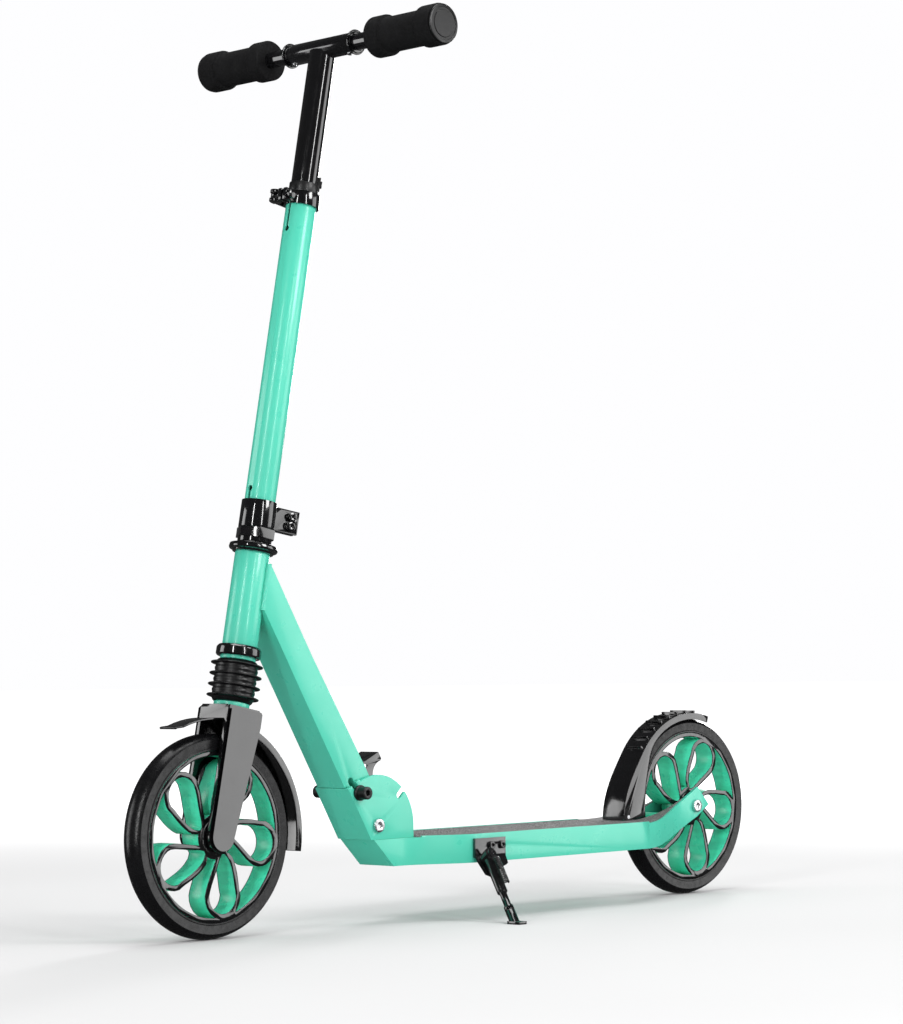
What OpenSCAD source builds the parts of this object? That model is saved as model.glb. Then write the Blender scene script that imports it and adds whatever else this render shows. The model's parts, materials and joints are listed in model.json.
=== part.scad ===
// Folding kick scooter with two 200 mm wheels.
// Row frame: +X forward, +Y to the rider's left, +Z up, millimetres.
// The origin is on the ground, halfway between the two wheel axles.

/* [Wheels] */
// Outer diameter of both tyres
wheel_d = 200; // [196:1:204]
// Width of the tyres
tyre_w = 26; // [24:1:28]
// Distance between the two axles
wheelbase = 720; // [700:5:740]
// Number of teardrop windows in each wheel
petal_count = 5; // [4:1:6]
// Turn of the front wheel's windows
front_phase = 45; // [0:1:71]
// Turn of the rear wheel's windows
rear_phase = 43; // [0:1:71]

/* [Deck] */
// Height of the deck's top face
deck_top = 87; // [84:1:90]
// Depth of the deck
deck_h = 28; // [24:1:30]
// Full width of the standing area
deck_w = 110; // [100:2:120]
// Full width of the nose under the fold
nose_w = 50; // [50:1:56]
// Thickness of the deck's walls
deck_wall = 3; // [2.5:0.5:4]

/* [Column] */
// Backward lean of the steering axis
rake = 11.2; // [10:0.2:12]
// Distance of the steering axis behind the front axle
fork_offset = 7.7; // [6:0.1:9]
// Diameter of the lower column tube
column_d = 31; // [30.5:0.5:32]
// Diameter of the telescoping stem
stem_d = 27; // [26.5:0.5:27]
// Height of the crossbar along the steering axis
bar_height = 813; // [790:1:840]

/* [Handlebar] */
// Full width over the grips
bar_w = 348; // [330:2:370]
// Diameter of the crossbar sleeve
sleeve_d = 21.5; // [21:0.5:23]
// Half of the sleeve's length
sleeve_half = 50; // [46:1:54]
// Diameter of the two handle tubes
handle_d = 17; // [16.5:0.5:18]
// Length of each grip
grip_l = 95; // [90:1:105]

/* [Fold] */
// Slope of the down tube above the horizontal
tube_angle = 59; // [58:0.5:60]
// Depth of the down tube at its foot
tube_depth = 35.5; // [35:0.5:36]
// Radius of the round rim of the fold bracket
rim_r = 51.5; // [50:0.5:53]
// Distance of the lock pin from the fold pivot
lock_r = 43; // [42:0.5:43.5]

/* [Kickstand] */
// Outward tilt of the plane that the leg swings in
kick_tilt = 40; // [38:1:43]
// Forward reach of the lowered leg, in degrees from straight down
kick_lead = 12; // [9:1:16]

/* [Hidden] */
$fn = 96;
eps = 0.01;
wheel_r = wheel_d / 2;
front_x = wheelbase / 2;
rear_x = -wheelbase / 2;

// wheel build-up, all radii from the axle and widths across the wheel
rim_ring_r = wheel_r - 17;
window_r = rim_ring_r - 4.5;
core_w = tyre_w - 3;
hub_r = 17;
hub_w = 27;
petal_end_r = 17.5;
petal_mid_r = 58.5;
spoke_t = 5.5;
bearing_d = 22;
bearing_w = 7;
axle_d = 7.9;
bearing_bore = 8;

// forks: both ends carry the axle between plates at the same spacing
plate_in = 17;
plate_out = 21;
bolt_head_d = 14;
bolt_head_h = 3.5;

// deck outline
nose_x = 157;
nose_back_x = nose_x - deck_h;
flare_start = 118;
hollow_front = 112;
flare_end = 36;
taper_start = -225;
taper_end = -345;
arm_start = -240;
arm_top_r = 240;
slot_front = -256.5;
lip_w = 2;
lip_h = 1.6;
tape_t = 1;

// steering frame: foot of the axis, level with the axle
steer_x = front_x - fork_offset * cos(rake);
steer_z = wheel_r - fork_offset * sin(rake);
crown_top = 128.5;
boot_low = 133;
boot_high = 175.5;
head_low = 189.5;
head_high = 283.7;
head_d = 35;
head_bore = 31;
steerer_d = stem_d + 0.2;
slider_d = 22.9;
steerer_bore = 23;
slider_top = 255;
spring_top = 300;
clamp_low = 308.6;
clamp_high = 336;
column_low = 308.4;
column_top = 657;
ring_low = 642.7;
collar_top = 667;
stem_low = 492;
clamp_turn = 168;
snap_y = sleeve_half - 9;

// fold
pivot_x = 151;
pivot_z = 101.5;
tube_front = 15.5;
tube_half = 20;
cheek_in = 20.5;
cheek_out = 24.5;
front_wall = 3;
bracket_h = 54;
tube_start = 55;
tube_taper = 4;
taper_along = 190;
lock_angle = 52.5;
fold_angle = 83.8;
pin_d = 6.6;
notch_w = 7;
lock_travel = 14;
lever_at = [-26, 55];

// rear brake fender: its radius grows from the top towards the deck
fender_top_r = 105.5;
fender_rise = 14.5;
fender_t = 2.3;
fender_low = -6;
fender_tip = 107;
fender_pin = [-249, deck_top + 5];

// kickstand
kick_x = 34;
kick_y = 67.4;
kick_z = 65;
leg_d = 11;
kick_screws = [3, 19];
kick_screw_z = 76;
kick_len = kick_z / (cos(kick_lead) * cos(kick_tilt));

mint = "#3fd6a9";
gloss_black = "#141416";
matt_black = "#1b1b1d";
steel = "#b9bcc0";

// ---- placing helpers ----

// local Z runs up the steering axis, local X points forward
module steer() {
    translate([steer_x, 0, steer_z]) rotate([0, -rake, 0]) children();
}

// local Z runs up the down tube, local X points forward and down
module at_neck() {
    translate([pivot_x, 0, pivot_z]) rotate([0, 90 - tube_angle, 0]) children();
}

// local Y is the kickstand's pivot axis, local X stays level
module at_kick() {
    translate([kick_x, kick_y, kick_z]) rotate([kick_tilt, 0, 0]) children();
}

// the lowered leg runs down local -Z
module at_leg() {
    at_kick() rotate([0, -kick_lead, 0]) children();
}

module on_axle(x) {
    translate([x, 0, wheel_r]) children();
}

// a rod along Y between two places
module rod_y(d, y0, y1) {
    translate([0, y0, 0]) rotate([-90, 0, 0]) cylinder(d = d, h = y1 - y0);
}

module tube_y(od, id, y0, y1) {
    difference() {
        rod_y(od, y0, y1);
        rod_y(id, y0 - 1, y1 + 1);
    }
}

module tube_z(od, id, z0, z1) {
    translate([0, 0, z0]) difference() {
        cylinder(d = od, h = z1 - z0);
        translate([0, 0, -1]) cylinder(d = id, h = z1 - z0 + 2);
    }
}

// extrudes an XZ outline from y0 to y1
module slab_y(y0, y1) {
    translate([0, y1, 0]) rotate([90, 0, 0]) linear_extrude(height = y1 - y0) children();
}

module both_sides() {
    children();
    mirror([0, 1, 0]) children();
}

// round bolt head standing along Y from y0 with a hex socket
module bolt_head(d, y0, h, socket) {
    difference() {
        rod_y(d, y0, y0 + h);
        translate([0, y0 + h - 1.8, 0]) rotate([-90, 0, 0]) cylinder(d = socket, h = 3, $fn = 6);
    }
}

// ---- deck ----

function smooth(t) = t * t * (3 - 2 * t);

// half width of the deck at a place along its length
function deck_half(x) =
    x > flare_start ? nose_w / 2 :
    x > flare_end ? nose_w / 2 + (deck_w - nose_w) / 2 * smooth((flare_start - x) / (flare_start - flare_end)) :
    x > taper_start ? deck_w / 2 :
    x > taper_end ? plate_out + (deck_w / 2 - plate_out) * smooth((x - taper_end) / (taper_start - taper_end)) :
    plate_out;

// places along the deck where its outline bends
deck_stations = concat(
    [for (i = [0:8]) flare_start + (flare_end - flare_start) * i / 8],
    [for (i = [0:8]) taper_start + (taper_end - taper_start) * i / 8]
);

module deck_plan(x0, x1, inset) {
    xs = concat([x0], [for (x = deck_stations) if (x < x0 - 0.5 && x > x1 + 0.5) x], [x1]);
    n = len(xs);
    polygon(concat(
        [for (x = xs) [x, deck_half(x) - inset]],
        [for (i = [n - 1:-1:0]) [xs[i], inset - deck_half(xs[i])]]
    ));
}

// points round the arms' curve, from its low end to its high end
function arm_curve(r, sweep) = [
    for (i = [0:12]) [arm_start, deck_top + arm_top_r] - r * [sin(sweep * i / 12), cos(sweep * i / 12)]
];

function backwards(list) = [for (i = [len(list) - 1:-1:0]) list[i]];

module deck_side() {
    bottom_r = arm_top_r + deck_h;
    // chamfered end around the axle
    end_plate = [[-361.5, 87.5], [-383, 101], [-364, 121.5]];
    polygon(concat(
        [[nose_x, deck_top], [nose_back_x, deck_top - deck_h]],
        arm_curve(bottom_r, 25.5),
        end_plate,
        backwards(arm_curve(arm_top_r, 30.5))
    ));
}

// room under the top plate and between the walls
module deck_hollow() {
    difference() {
        intersection() {
            slab_y(-deck_w, deck_w) polygon(concat(
                [[hollow_front, deck_top - deck_wall], [hollow_front, 30], [-322, 30]],
                backwards(arm_curve(arm_top_r + deck_wall, 19))
            ));
            linear_extrude(height = wheel_d) deck_plan(hollow_front + 1, -400, deck_wall);
        }
        // walls of the wheel slot
        translate([-420, -plate_in - deck_wall, 0])
            cube([420 + slot_front + 8, 2 * (plate_in + deck_wall), 200]);
    }
}

module deck() {
    color(mint) difference() {
        union() {
            intersection() {
                slab_y(-deck_w, deck_w) deck_side();
                linear_extrude(height = wheel_d) deck_plan(nose_x + 5, -400, 0);
            }
            // raised lips beside the tape
            translate([0, 0, deck_top - 1]) linear_extrude(height = lip_h + 1) difference() {
                deck_plan(94, arm_start, 0);
                deck_plan(96, arm_start - 5, lip_w);
            }
            // ears for the brake's hinge pin
            both_sides() translate([fender_pin[0], 0, 0]) {
                translate([-4.5, 9, deck_top - 1]) cube([9, 3, fender_pin[1] - deck_top + 1]);
                translate([0, 0, fender_pin[1]]) rod_y(9, 9, 12);
            }
        }
        deck_hollow();
        // wheel slot
        translate([-420, -plate_in, 0]) cube([420 + slot_front, 2 * plate_in, 200]);
        on_axle(rear_x) rod_y(axle_d, -deck_w, deck_w);
        translate([fender_pin[0], 0, fender_pin[1]]) rod_y(4, -20, 20);
        kickstand_screw_holes();
    }
}

// screw holes for the kickstand bracket in the left wall
module kickstand_screw_holes() {
    for (x = kick_screws) translate([x, 0, kick_screw_z]) rod_y(4, deck_w / 2 - 6, deck_w / 2 + 3);
}

module grip_tape() {
    color("#55565a") translate([0, 0, deck_top]) linear_extrude(height = tape_t) deck_plan(95, -236, lip_w + 1);
}

// ---- fold bracket ----

// side plate seen from the side, relative to the pivot
module cheek_outline() {
    base = deck_top - pivot_z;
    difference() {
        intersection() {
            union() {
                circle(r = rim_r, $fn = 180);
                translate([-rim_r, base]) square([rim_r + 60, -base]);
                rotate(tube_angle - 90) translate([-3, 0]) square([tube_front + 3, bracket_h]);
            }
            translate([-80, base]) square([160, 160]);
            rotate(tube_angle - 90) translate([-120, -80]) square([120 + tube_front, 200]);
        }
        for (a = [lock_angle, lock_angle + fold_angle]) rotate(a) {
            translate([lock_r, 0]) circle(d = notch_w, $fn = 48);
            translate([lock_r, -notch_w / 2]) square([30, notch_w]);
        }
    }
}

module neck_bracket() {
    color(mint) difference() {
        union() {
            both_sides() translate([pivot_x, 0, pivot_z]) slab_y(cheek_in, cheek_out) cheek_outline();
            // front wall joins the plates
            intersection() {
                at_neck() translate([tube_front - front_wall, -cheek_in - 1, -25])
                    cube([front_wall, 2 * cheek_in + 2, bracket_h + 25]);
                translate([0, -50, deck_top]) cube([400, 100, 200]);
            }
            // floor on the deck
            translate([pivot_x - rim_r, -cheek_in - 1, deck_top]) cube([rim_r + 5, 2 * cheek_in + 2, 2.5]);
        }
        translate([pivot_x, 0, pivot_z]) rod_y(8, -30, 30);
    }
}

module fold_bolt() {
    color(steel) translate([pivot_x, 0, pivot_z]) {
        rod_y(7.9, -26.5, 26);
        difference() {
            rod_y(14, cheek_out, cheek_out + 3.2);
            translate([0, cheek_out + 1.6, 0]) rotate([-90, 0, 0]) cylinder(d = 6, h = 3, $fn = 6);
        }
    }
}

module fold_nut() {
    color(steel) translate([pivot_x, 0, pivot_z]) difference() {
        translate([0, -cheek_out - 5, 0]) rotate([-90, 0, 0]) cylinder(d = 15, h = 5, $fn = 6);
        rod_y(7.9, -40, 0);
    }
}

// ---- neck ----

// the tube's rear side slopes forward up to taper_along
module down_tube_side(inset, low) {
    length = 340;
    rear = tube_front - tube_depth + inset;
    polygon([
        [tube_front - inset, low], [tube_front - inset, length], [rear + tube_taper, length],
        [rear + tube_taper, taper_along], [rear, low]
    ]);
}

module down_tube() {
    rear = tube_front - tube_depth;
    wall = 2.5;
    color(mint) difference() {
        at_neck() {
            difference() {
                slab_y(-tube_half, tube_half) down_tube_side(0, tube_start);
                slab_y(wall - tube_half, tube_half - wall) down_tube_side(wall, tube_start + 14);
                // slot that the lock pin slides in
                lock_slot(pin_d + 0.6);
            }
            // tongue between the cheeks
            difference() {
                rotate([90, 0, 0]) linear_extrude(height = 2 * tube_half, center = true) {
                    circle(r = 11);
                    polygon([[-8, 7.5], [-11, 0], [11, 0], [12.2, 24], [12.2, tube_start + eps],
                             [rear, tube_start + eps], [rear, 24]]);
                }
                lock_slot(pin_d + 0.6);
            }
            // ear for the release lever
            difference() {
                translate([lever_at[0], -3, lever_at[1]]) {
                    rod_y(9, 0, 6);
                    translate([0, 0, -4.5]) cube([9, 6, 9]);
                }
                translate([lever_at[0], 0, lever_at[1]]) rod_y(4, -20, 20);
            }
        }
        // pivot bore and the run of the head tube
        translate([pivot_x, 0, pivot_z]) rod_y(12, -40, 40);
        steer() cylinder(d = head_d, h = 500);
        steer() translate([-8, -100, 0]) cube([300, 200, 600]);
    }
}

// room for the pin from locked to released
module lock_slot(w) {
    side = lock_r * sin(tube_angle - lock_angle);
    up = lock_r * cos(tube_angle - lock_angle);
    translate([side, 0, up]) {
        rod_y(w, -30, 30);
        translate([0, 0, lock_travel]) rod_y(w, -30, 30);
        translate([-w / 2, -30, 0]) cube([w, 60, lock_travel]);
    }
}

module at_lock() {
    side = lock_r * sin(tube_angle - lock_angle);
    up = lock_r * cos(tube_angle - lock_angle);
    at_neck() translate([side, 0, up]) children();
}

module lock_pin() {
    color(steel) at_lock() rod_y(pin_d, -tube_half, tube_half);
}

module lock_knobs() {
    color(gloss_black) at_lock() both_sides() {
        rod_y(16, cheek_out + 0.3, cheek_out + 3);
        translate([0, cheek_out + 3 - eps, 0]) difference() {
            rod_y(13, 0, 10);
            translate([0, 6, 0]) rotate([-90, 0, 0]) cylinder(d = 6, h = 6, $fn = 6);
        }
    }
}

module release_lever() {
    hub = lever_at;
    tip = hub[0] - 23.5;
    face = tube_front - tube_depth - 0.6;
    color(gloss_black) at_neck() difference() {
        rotate([90, 0, 0]) linear_extrude(height = 26, center = true) difference() {
            union() {
                translate(hub) circle(r = 4.8);
                polygon([
                    hub + [1.2, 4.6], [tip, hub[1] + 2], [tip, hub[1] - 6], hub + [0, -20],
                    [face, hub[1] - 20], [face, hub[1]]
                ]);
            }
            translate(hub + [-17, -21]) circle(r = 14.5);
        }
        // room for the ear on the tube
        translate([hub[0] - 6, -3.3, hub[1] - 8]) cube([20, 6.6, 20]);
        translate([hub[0], 0, hub[1]]) rod_y(4.1, -20, 20);
    }
}

module lever_pin() {
    color(steel) at_neck() translate([lever_at[0], 0, lever_at[1]]) rod_y(4, -12.5, 12.5);
}

module fold_bush() {
    color("#d8d3c0") translate([pivot_x, 0, pivot_z]) tube_y(12, 8, -tube_half, tube_half);
}

module head_tube() {
    color(mint) steer() difference() {
        translate([0, 0, head_low]) cylinder(d = head_d, h = head_high - head_low);
        translate([0, 0, head_low - 1]) cylinder(d = head_bore, h = head_high - head_low + 2);
    }
}

module headset_cups() {
    color(gloss_black) steer() {
        // lower cup with a flared skirt
        translate([0, 0, head_low]) rotate_extrude() polygon([
            [14.5, -6], [19, -6], [19, -11], [21, -11], [22.5, -9.5], [22.5, -2.5], [20.5, 0], [14.5, 0]
        ]);
        // upper cup and its dust cap
        translate([0, 0, head_high]) rotate_extrude() polygon([
            [14.5, 0], [20.5, 0], [21, 2], [23.8, 2.6], [24.5, 4.5], [23.8, 8], [22.6, 8], [21.6, 6.5],
            [18, 7], [17.5, 10], [14.5, 10]
        ]);
    }
}

// one bearing at each end, cup side up and down
module headset_bearings() {
    color(steel) steer() {
        tube_z(head_bore, steerer_d + 0.1, head_low + 1, head_low + 8);
        tube_z(head_bore, steerer_d + 0.1, head_high - 8, head_high - 1);
    }
}

module headset_nuts() {
    color(gloss_black) steer() {
        tube_z(34, steerer_d, head_high + 10.3, head_high + 14.5);
        translate([0, 0, head_high + 14.5]) difference() {
            cylinder(d = 40, h = 10, $fn = 6);
            translate([0, 0, -1]) cylinder(d = steerer_d, h = 20);
        }
    }
}

// ---- steering column ----

module steerer_tube() {
    color(mint) steer() {
        difference() {
            union() {
                translate([0, 0, boot_high]) cylinder(d = steerer_d, h = clamp_high - boot_high - 2);
                // collar above the boot
                translate([0, 0, boot_high]) cylinder(d = 35.5, h = 5);
            }
            translate([0, 0, boot_high - 1]) cylinder(d = steerer_bore, h = clamp_high);
        }
        // plug that the suspension spring pushes against
        translate([0, 0, spring_top]) cylinder(d = steerer_bore + eps, h = 8);
    }
}

// keyhole cut through the front of a tube
module keyhole(z_end, z_hole) {
    low = min(z_end, z_hole);
    translate([0, -1.6, low]) cube([30, 3.2, abs(z_end - z_hole)]);
    translate([0, 0, z_hole]) rotate([0, 90, 0]) cylinder(d = 6, h = 30);
}

module column_tube() {
    color(mint) steer() difference() {
        tube_z(column_d, stem_d + 0.2, column_low, column_top);
        keyhole(column_low - 1, clamp_high + 11);
        keyhole(column_top + 1, ring_low - 26);
    }
}

module lower_clamp() {
    color(gloss_black) steer() rotate(clamp_turn) difference() {
        union() {
            translate([0, 0, clamp_low]) cylinder(d = 36, h = clamp_high - clamp_low);
            translate([10, -5.5, clamp_low + 2]) cube([34, 11, clamp_high - clamp_low - 4]);
        }
        translate([0, 0, clamp_low - 1]) cylinder(d = column_d, h = 40);
        translate([10, -1.5, clamp_low - 1]) cube([40, 3, 40]);
        for (z = [clamp_low + 9, clamp_high - 9]) translate([35, 0, z]) rod_y(5, -20, 20);
    }
}

module clamp_bolts() {
    color(gloss_black) steer() rotate(clamp_turn)
        for (z = [clamp_low + 9, clamp_high - 9]) translate([35, 0, z]) {
            rod_y(5, -8, 6);
            mirror([0, 1, 0]) bolt_head(9, 5.5, 3.5, 4.6);
            difference() {
                translate([0, 5.5, 0]) rotate([-90, 0, 0]) cylinder(d = 9.2, h = 4, $fn = 6);
                rod_y(5, 0, 20);
            }
        }
}

module top_clamp() {
    color(gloss_black) steer() difference() {
        union() {
            translate([0, 0, ring_low]) cylinder(d = 36, h = 14);
            translate([10, -6, ring_low + 1]) cube([18, 12, 12]);
        }
        translate([0, 0, ring_low - 1]) cylinder(d = column_d, h = 20);
        translate([10, -1.5, ring_low - 1]) cube([30, 3, 20]);
        translate([23, 0, ring_low + 7]) rod_y(5, -20, 20);
    }
}

module clamp_skewer() {
    color(gloss_black) steer() translate([23, 0, ring_low + 7]) {
        rod_y(5, -15, 10);
        tube_y(11, 5, -7.2, -6);
        difference() {
            translate([0, 6, 0]) rotate([-90, 0, 0]) cylinder(d = 10, h = 5, $fn = 6);
            rod_y(5, 0, 9);
        }
    }
}

// cam barrel and lever on the right side, closed along the column
module clamp_lever() {
    color(gloss_black) steer() translate([23, -14, ring_low + 7]) {
        // two cam cheeks with the skewer between them
        difference() {
            translate([0, 0, -6]) cylinder(d = 13, h = 12);
            translate([0, 0, -3]) cylinder(d = 14, h = 6);
        }
        translate([-5, -7.5, -6]) cube([5, 4, 12]);
        // thin blade with a rolled end
        translate([-44, -8.4, -5]) cube([44, 2.4, 10]);
        translate([-44, -7.2, -5]) cylinder(d = 3.4, h = 10);
    }
}

module column_collar() {
    color("#2a2b2d") steer() difference() {
        union() {
            tube_z(30, stem_d + 0.1, column_top, collar_top);
            // housing of the height button at the left rear
            rotate(140) translate([12, -4, collar_top - 4]) cube([4, 8, 13]);
        }
        cylinder(d = stem_d + 0.1, h = 900);
        rotate(140) translate([12, -2.7, collar_top - 1]) cube([8, 5.4, 7]);
    }
}

module height_button() {
    color(gloss_black) steer() rotate(140) translate([15.2, -2.5, collar_top - 0.8]) cube([2.6, 5, 6.6]);
}

// ---- fork ----

module fork_leg_outline() {
    end_r = 15.5;
    polygon([
        [-22, 112], [-22, crown_top - 3], [-19, crown_top], [19, crown_top], [22, crown_top - 3],
        [22, 112], [fork_offset + end_r, 2], [fork_offset - end_r, 2]
    ]);
    translate([fork_offset, 0]) circle(r = end_r);
}

module fork() {
    color(gloss_black) steer() difference() {
        union() {
            both_sides() slab_y(plate_in, plate_out) fork_leg_outline();
            // crown over the tyre
            translate([-22, -plate_in - 1, 108]) cube([44, 2 * plate_in + 2, crown_top - 108]);
        }
        translate([fork_offset, 0, 0]) {
            rod_y(2 * 115.5, -plate_in, plate_in);
            rod_y(axle_d, -40, 40);
        }
        cylinder(d = slider_d, h = 300);
    }
}

// slider in the steerer, with the collar under the boot
module fork_slider() {
    color(mint) steer() {
        tube_z(slider_d, 18, 116.5, slider_top);
        tube_z(35.5, slider_d, crown_top, boot_low);
        translate([0, 0, slider_top - 6]) cylinder(d = 18 + eps, h = 6);
    }
}

module suspension_spring() {
    color(steel) steer() for (i = [0:6])
        translate([0, 0, slider_top + 3.2 + i * 6.4]) rotate_extrude()
            translate([8.5, 0]) circle(d = 3, $fn = 24);
}

// rubber boot with flat flanges
module fork_boot() {
    pitch = 10.9;
    color(matt_black) steer() rotate_extrude() difference() {
        union() {
            translate([17, boot_low + 5.5]) square([4.6, boot_high - boot_low - 8.5]);
            polygon([[15, boot_low + 0.2], [18, boot_low + 0.2], [21.6, boot_low + 5.6], [17, boot_low + 5.6]]);
            polygon([[15, boot_high - 0.2], [17, boot_high - 3.2], [21.6, boot_high - 3.2], [17.6, boot_high - 0.2]]);
            for (i = [0:3]) translate([17, boot_low + 4.6 + i * pitch]) square([9, 1.6]);
        }
        for (i = [0:2]) translate([23.6, boot_low + 10.8 + i * pitch]) circle(r = 3.4, $fn = 32);
    }
}

function round_axle(r, from, to, count) = [
    for (i = [0:count]) let (a = from + (to - from) * i / count) r * [cos(a), sin(a)]
];

// thin guard with an upturned front lip
module front_fender() {
    outer = 115.5;
    inner = 113.5;
    skirt = 108.5;
    color(gloss_black) on_axle(front_x) {
        slab_y(-12, 12) polygon(concat(
            round_axle(outer, 190, 70, 30),
            round_axle(outer + 2.4, 66, 65, 1),
            round_axle(inner + 2.4, 65, 66, 1),
            round_axle(inner, 70, 190, 30)
        ));
        // skirts along both edges, fading out under the crown
        both_sides() slab_y(10.2, 12) polygon(concat(
            round_axle(outer - 1, 190, 106, 21),
            round_axle(outer - 1.2, 105, 104, 1),
            round_axle(skirt, 112, 190, 20)
        ));
    }
}

// ---- wheels ----

// outline of a teardrop that swings round as it runs outwards
module petal(grow) {
    steps = 9;
    swing = 20;
    root_r = 20;
    root_half = 1.6;
    place = [for (i = [0:steps]) let (
        t = i / steps,
        r = root_r + (petal_mid_r - root_r) * t,
        a = -swing * pow(1 - t, 1.4)
    ) r * [cos(a), sin(a)]];
    half = [for (i = [0:steps]) root_half + (petal_end_r - root_half) * pow(i / steps, 0.65) + grow];
    dir = [for (i = [0:steps]) let (
        d = place[min(i + 1, steps)] - place[max(i - 1, 0)]
    ) d / norm(d)];
    left = [for (i = [0:steps]) place[i] + half[i] * [-dir[i][1], dir[i][0]]];
    right = [for (i = [steps:-1:0]) place[i] - half[i] * [-dir[i][1], dir[i][0]]];
    end_a = atan2(dir[steps][1], dir[steps][0]);
    cap = [for (b = [75:-15:-75]) place[steps] + half[steps] * [cos(end_a + b), sin(end_a + b)]];
    polygon(concat(left, cap, right));
}

// web seen from the side: hub, swinging spokes and rim ring
module web_outline(inner, grow) {
    difference() {
        circle(r = rim_ring_r, $fn = 180);
        difference() {
            circle(r = window_r - grow, $fn = 180);
            circle(r = hub_r + 5);
            for (k = [0:petal_count - 1]) rotate(360 / petal_count * k) petal(spoke_t);
        }
        for (k = [0:petal_count - 1]) rotate(360 / petal_count * k) petal(0);
        circle(d = inner);
    }
}

module rim(x, phase) {
    color(mint) on_axle(x) rotate([0, -phase, 0])
        slab_y(-core_w / 2, core_w / 2) web_outline(bearing_d, 0);
}

module rim_faces(x, phase) {
    color(gloss_black) on_axle(x) both_sides() {
        rotate([0, -phase, 0]) slab_y(core_w / 2, core_w / 2 + 1) web_outline(bearing_d, 0);
        tube_y(2 * hub_r, bearing_d, core_w / 2, hub_w / 2);
    }
}

module tyre(x) {
    crown_c = wheel_r - 15.7;
    color(matt_black) on_axle(x) rotate([90, 0, 0]) rotate_extrude($fn = 180) intersection() {
        translate([rim_ring_r, -tyre_w / 2]) square([wheel_r - rim_ring_r, tyre_w]);
        translate([crown_c, 0]) circle(r = 16);
    }
}

module wheel_bearings(x) {
    color(steel) on_axle(x) both_sides() difference() {
        tube_y(bearing_d, bearing_bore, hub_w / 2 - bearing_w, hub_w / 2);
        tube_y(18, 12, hub_w / 2 - 0.5, hub_w / 2 + 1);
    }
}

module hub_sleeve(x) {
    color("#8f9296") on_axle(x) {
        tube_y(11, bearing_bore, bearing_w - hub_w / 2, hub_w / 2 - bearing_w);
        tube_y(bearing_d, 16, bearing_w - hub_w / 2, hub_w / 2 - bearing_w);
        tube_y(17, 10, -2, 2);
    }
}

module axle_bolt(x) {
    color(steel) on_axle(x) {
        rod_y(axle_d, -plate_out - 1, plate_out + 1);
        both_sides() bolt_head(bolt_head_d, plate_out, bolt_head_h, 5.8);
    }
}

module axle_spacers(x) {
    color(steel) on_axle(x) both_sides() tube_y(12, axle_d, hub_w / 2 + 0.2, plate_in);
}

// ---- rear brake ----

function fade(t) = smooth(max(0, min(1, t)));
function fender_r(a) = fender_top_r + fender_rise * fade((35 - a) / 45);
function skirt_r(a) = fender_r(a) - 7 - 27 * fade((60 - a) / 66);

// outline between two curves that both run round the rear axle
module fender_band(from, to, depth, skirted) {
    steps = 32;
    sweep = [for (i = [0:steps]) from + (to - from) * i / steps];
    outer = [for (a = sweep) (fender_r(a) - depth) * [cos(a), sin(a)]];
    inner = [for (a = sweep) (skirt_r(a) - (skirted ? 0 : 12)) * [cos(a), sin(a)]];
    polygon(concat(outer, backwards(inner)));
}

module rear_fender() {
    color(gloss_black) difference() {
        on_axle(rear_x) {
            difference() {
                slab_y(-15.9, 15.9) fender_band(fender_low, fender_tip, 0, true);
                slab_y(-14.4, 14.4) fender_band(fender_low - 5, fender_tip + 5, fender_t, false);
            }
            // cross ribs for the heel
            for (a = [40:8:96]) rotate([0, -a, 0])
                translate([fender_r(a) - 1, -11.5, -0.9]) cube([4.2, 23, 1.8]);
        }
        translate([fender_pin[0], 0, fender_pin[1]]) rod_y(4.1, -30, 30);
        translate([rear_x, -30, 0]) cube([200, 60, deck_top + 1.6]);
    }
}

module fender_pin() {
    color(steel) translate([fender_pin[0], 0, fender_pin[1]]) rod_y(4, -15.9, 15.9);
}

module fender_spring() {
    color(steel) translate([fender_pin[0], 0, fender_pin[1]]) for (i = [-3:3])
        translate([0, i * 2.3, 0]) rotate([90, 0, 0]) rotate_extrude() translate([3.5, 0]) circle(d = 1.8, $fn = 20);
}

// ---- kickstand ----

module kickstand_bracket() {
    side = deck_w / 2;
    color(gloss_black) difference() {
        union() {
            // plate on the deck's wall
            translate([-3, side, 64]) cube([46, 3, 20]);
            // plate that the leg turns on
            at_kick() slab_y(-9, -6) polygon([
                [9, 11], [-37, 11], [-32, -5], [-10, -12], [0, -20], [8, -16]
            ]);
        }
        translate([-30, 0, deck_top - deck_h - 10]) cube([100, side, deck_h + 10]);
        at_kick() rod_y(6, -30, 30);
        for (x = kick_screws) translate([x, 0, kick_screw_z]) rod_y(4, side - 10, side + 10);
    }
}

module kickstand_screws() {
    color(gloss_black) for (x = kick_screws) translate([x, 0, kick_screw_z]) {
        rod_y(4, deck_w / 2 - 5, deck_w / 2 + 3);
        bolt_head(8, deck_w / 2 + 3, 2.4, 4);
    }
}

module kickstand_pivot() {
    color(gloss_black) at_kick() {
        rod_y(5.9, -11, 6);
        bolt_head(10, 6, 2.6, 4.6);
        difference() {
            translate([0, -11.4, 0]) rotate([-90, 0, 0]) cylinder(d = 10, h = 2.4, $fn = 6);
            rod_y(5.9, -14, -8);
        }
    }
}

module kickstand_leg() {
    color(gloss_black) difference() {
        union() {
            at_kick() rod_y(14, -5.7, 5.7);
            at_leg() {
                translate([0, 0, -46]) cylinder(d = leg_d, h = 44);
                translate([0, 0, -kick_len + 7]) cylinder(d = 7.5, h = kick_len - 20);
                translate([0, 0, -kick_len + 18]) cylinder(d = 10, h = 4);
            }
        }
        at_kick() rod_y(6, -20, 20);
    }
}

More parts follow.
